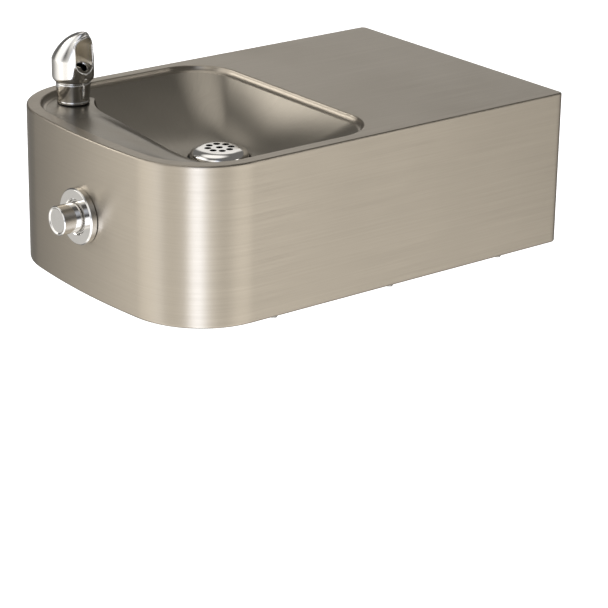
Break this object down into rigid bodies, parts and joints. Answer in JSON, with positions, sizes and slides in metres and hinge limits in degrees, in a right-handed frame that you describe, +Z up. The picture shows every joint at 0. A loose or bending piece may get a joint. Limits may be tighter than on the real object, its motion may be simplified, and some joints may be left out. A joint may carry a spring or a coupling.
{
  "type": "wall-hung drinking fountain",
  "caption": "Wall-hung outdoor drinking fountain with a bowed steel body, a pressed basin with a swirl shelf, a hooded bubbler and a spring-loaded push button on the front.",
  "frame": {"origin": "on the wall plane, at the middle of the four wall bolts, which is also half way up the body", "axes": "+X to the right of a user who faces the wall, +Y into the wall, +Z up"},
  "size_m": [0.318, 0.564, 0.226],
  "materials": {
    "body_steel": "brushed along the long side",
    "basin_steel": "satin, brushed down to the drain",
    "plain_steel": "plain mill finish",
    "polished_chrome": "polished",
    "pipe_chrome": "plated tube",
    "brass": "turned",
    "black_rubber": "moulded",
    "grey_plastic": "moulded",
    "white_plastic": "moulded",
    "clear_plastic": "clear, flexible"
  },
  "bodies": {
    "fountain": {"apron": "body_steel", "deck": "body_steel", "basin": "basin_steel", "back_carrier": "plain_steel", "bottom_cover": "plain_steel", "cover_screws": "plain_steel", "weld_nuts": "plain_steel", "bubbler_head": "polished_chrome", "bubbler_nozzle": "brass", "bubbler_gasket": "black_rubber", "bubbler_washer": "plain_steel", "bubbler_nut": "brass", "tube_elbow": "grey_plastic", "elbow_collet": "white_plastic", "water_tube": "white_plastic", "back_grommets": "black_rubber", "button_gasket": "black_rubber", "escutcheon": "polished_chrome", "button_sleeve": "polished_chrome", "button_washer": "plain_steel", "button_nut": "brass", "return_spring": "plain_steel", "air_cylinder": "grey_plastic", "air_barb": "grey_plastic", "air_tube": "clear_plastic", "strainer": "polished_chrome", "waste_gasket": "black_rubber", "waste_body": "pipe_chrome", "waste_washer": "plain_steel", "waste_nut": "brass", "slip_nuts": "pipe_chrome", "slip_washers": "white_plastic", "waste_bend": "pipe_chrome", "waste_arm": "pipe_chrome"},
    "button": {"push_knob": "polished_chrome", "stem_clip": "plain_steel", "air_piston": "white_plastic", "piston_ring": "black_rubber", "piston_screw": "plain_steel"}
  },
  "joints": [
    {"name": "button_press", "type": "slide", "parent": "fountain", "child": "button", "axis": [0, 1, 0], "range_m": [0, 0.005], "stiffness_N_per_m": 1500, "springref_m": -0.004, "deforming": ["return_spring"]}
  ]
}
